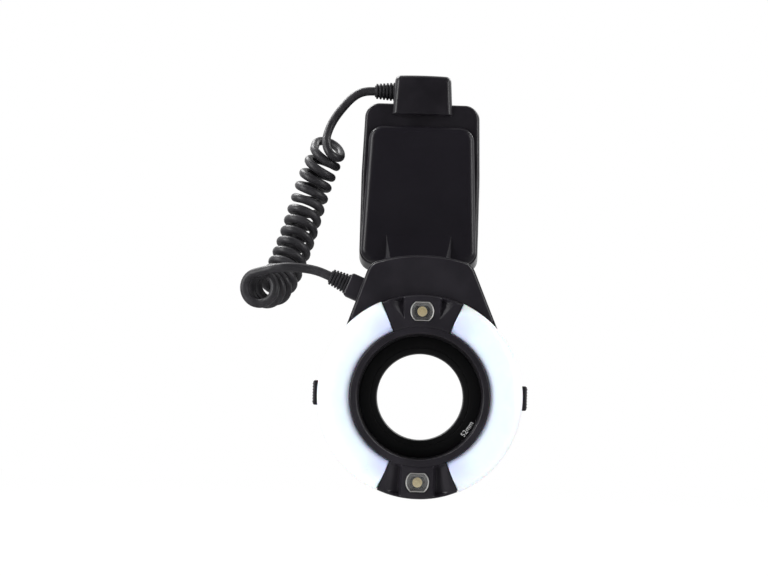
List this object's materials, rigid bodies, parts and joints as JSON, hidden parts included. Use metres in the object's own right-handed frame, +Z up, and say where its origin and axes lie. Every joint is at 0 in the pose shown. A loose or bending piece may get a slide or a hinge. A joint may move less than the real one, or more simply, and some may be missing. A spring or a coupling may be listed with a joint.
{
  "type": "macro ring flash",
  "caption": "Ring-shaped macro flash head joined by a curly cord to a control unit with a shoe foot, held as mounted on a camera.",
  "frame": {"origin": "middle of the underside of the control unit's shoe foot", "axes": "+Z up from the foot, -Y the way the flash points, +X to the right seen from the front; the ring head hangs below and in front, round the lens axis along Y"},
  "size_m": [0.1591, 0.1316, 0.2404],
  "materials": {
    "black_plastic": "fine-textured moulded plastic",
    "satin_panel": "satin",
    "grey_strip": "satin",
    "black_rubber": "soft sheen",
    "clear_window": "polished",
    "display_glass": "grey-green display",
    "key_plastic": "matt",
    "foot_metal": "satin",
    "contact_gold": "plated",
    "screw_steel": "blackened",
    "spring_steel": "bright",
    "board": "green laminate",
    "capacitor_sleeve": "shrink sleeve",
    "winding": "enamelled wire and core",
    "cell_jacket": "plain jacket",
    "diffuser_white": "translucent, satin",
    "reflector": "bright",
    "tube_glass": "clear",
    "lamp_lens": "clear",
    "lamp_rim": "bright",
    "emitter": "yellow phosphor",
    "adapter_alloy": "black anodised",
    "pilot_red": "red light pipe"
  },
  "bodies": {
    "control_unit": {"unit_front_shell": "black_plastic", "unit_rear_shell": "black_plastic", "front_panel": "satin_panel", "ramp_strips": "grey_strip", "connector_housing": "black_plastic", "top_strain_relief": "black_rubber", "battery_bay": "black_plastic", "battery_cells": "cell_jacket", "bay_contacts": "contact_gold", "door_pin": "spring_steel", "main_board": "board", "flash_capacitor": "capacitor_sleeve", "transformer": "winding", "display_module": "display_glass", "display_window": "clear_window", "unit_screws": "screw_steel", "pilot_lamp": "pilot_red", "foot": "foot_metal", "cord_upper_tail": "black_rubber", "curly_cord": "black_rubber"},
    "battery_door": {"battery_door": "black_plastic", "door_contacts": "contact_gold"},
    "power_switch": {"power_switch": "key_plastic"},
    "shoe_contacts": {"shoe_contacts": "contact_gold"},
    "lock_wheel": {"lock_wheel": "black_plastic"},
    "clamp_plate": {"clamp_plate": "foot_metal", "lock_pin": "foot_metal"},
    "ring_head": {"head_rear_housing": "black_plastic", "head_front_bezel": "black_plastic", "hood_cover": "black_plastic", "head_board": "board", "head_screws": "screw_steel", "head_plug_housing": "black_plastic", "head_strain_relief": "black_rubber", "lamp_rims": "lamp_rim", "lamp_lens_top": "lamp_lens", "lamp_lens_bottom": "lamp_lens", "lamp_led_top": "emitter", "lamp_led_bottom": "emitter", "diffuser_left": "diffuser_white", "diffuser_right": "diffuser_white", "reflector_left": "reflector", "reflector_right": "reflector", "flash_tube_left": "tube_glass", "flash_tube_right": "tube_glass", "latch_springs_left": "spring_steel", "latch_springs_right": "spring_steel", "cord_lower_tail": "black_rubber"},
    "release_left": {"release_button_left": "key_plastic", "latch_plate_left": "foot_metal"},
    "release_right": {"release_button_right": "key_plastic", "latch_plate_right": "foot_metal"},
    "adapter_ring": {"adapter_ring": "adapter_alloy"},
    "mode_button": {"mode_button": "key_plastic"},
    "light_button": {"light_button": "key_plastic"},
    "zoom_button": {"zoom_button": "key_plastic"},
    "minus_button": {"minus_button": "key_plastic"},
    "select_button": {"select_button": "key_plastic"},
    "plus_button": {"plus_button": "key_plastic"},
    "test_button": {"test_button": "key_plastic"}
  },
  "joints": [
    {"name": "head_reach", "type": "slide", "parent": "control_unit", "child": "ring_head", "axis": [0, -1, 0], "range_m": [-0.01, 0.04], "deforming": ["curly_cord", "cord_lower_tail"]},
    {"name": "adapter_turn", "type": "hinge", "parent": "ring_head", "child": "adapter_ring", "pos_m": [0.0034, -0.062, -0.064], "axis": [0, -1, 0], "continuous": true},
    {"name": "release_left_press", "type": "slide", "parent": "ring_head", "child": "release_left", "axis": [1, 0, 0], "range_m": [0, 0.0022], "stiffness_N_per_m": 900, "springref_m": -0.002, "deforming": ["latch_springs_left"]},
    {"name": "release_right_press", "type": "slide", "parent": "ring_head", "child": "release_right", "axis": [-1, 0, 0], "range_m": [0, 0.0022], "stiffness_N_per_m": 900, "springref_m": -0.002, "deforming": ["latch_springs_right"]},
    {"name": "battery_door_swing", "type": "hinge", "parent": "control_unit", "child": "battery_door", "pos_m": [0.0327, -0.003, 0.037], "axis": [0, 1, 0], "range_deg": [0, 100]},
    {"name": "power_slide", "type": "slide", "parent": "control_unit", "child": "power_switch", "axis": [1, 0, 0], "range_m": [0, 0.004]},
    {"name": "shoe_contacts_press", "type": "slide", "parent": "control_unit", "child": "shoe_contacts", "axis": [0, 0, 1], "range_m": [0, 0.0004], "stiffness_N_per_m": 400, "springref_m": -0.0005},
    {"name": "lock_wheel_turn", "type": "hinge", "parent": "control_unit", "child": "lock_wheel", "pos_m": [0, 0, 0.008], "axis": [0, 0, 1], "range_deg": [0, 360]},
    {"name": "clamp_plate_drop", "type": "slide", "parent": "control_unit", "child": "clamp_plate", "axis": [0, 0, -1], "range_m": [0, 0.0008]},
    {"name": "mode_press", "type": "slide", "parent": "control_unit", "child": "mode_button", "axis": [0, -1, 0], "range_m": [0, 0.0008], "stiffness_N_per_m": 500, "springref_m": -0.0008},
    {"name": "light_press", "type": "slide", "parent": "control_unit", "child": "light_button", "axis": [0, -1, 0], "range_m": [0, 0.0008], "stiffness_N_per_m": 500, "springref_m": -0.0008},
    {"name": "zoom_press", "type": "slide", "parent": "control_unit", "child": "zoom_button", "axis": [0, -1, 0], "range_m": [0, 0.0008], "stiffness_N_per_m": 500, "springref_m": -0.0008},
    {"name": "minus_press", "type": "slide", "parent": "control_unit", "child": "minus_button", "axis": [0, -1, 0], "range_m": [0, 0.0008], "stiffness_N_per_m": 500, "springref_m": -0.0008},
    {"name": "select_press", "type": "slide", "parent": "control_unit", "child": "select_button", "axis": [0, -1, 0], "range_m": [0, 0.0008], "stiffness_N_per_m": 500, "springref_m": -0.0008},
    {"name": "plus_press", "type": "slide", "parent": "control_unit", "child": "plus_button", "axis": [0, -1, 0], "range_m": [0, 0.0008], "stiffness_N_per_m": 500, "springref_m": -0.0008},
    {"name": "test_press", "type": "slide", "parent": "control_unit", "child": "test_button", "axis": [0, -1, 0], "range_m": [0, 0.0008], "stiffness_N_per_m": 500, "springref_m": -0.0008}
  ],
  "couplings": [
    {"joint": "clamp_plate_drop", "follows": "lock_wheel_turn", "m_per_rad": 0.00012732}
  ]
}
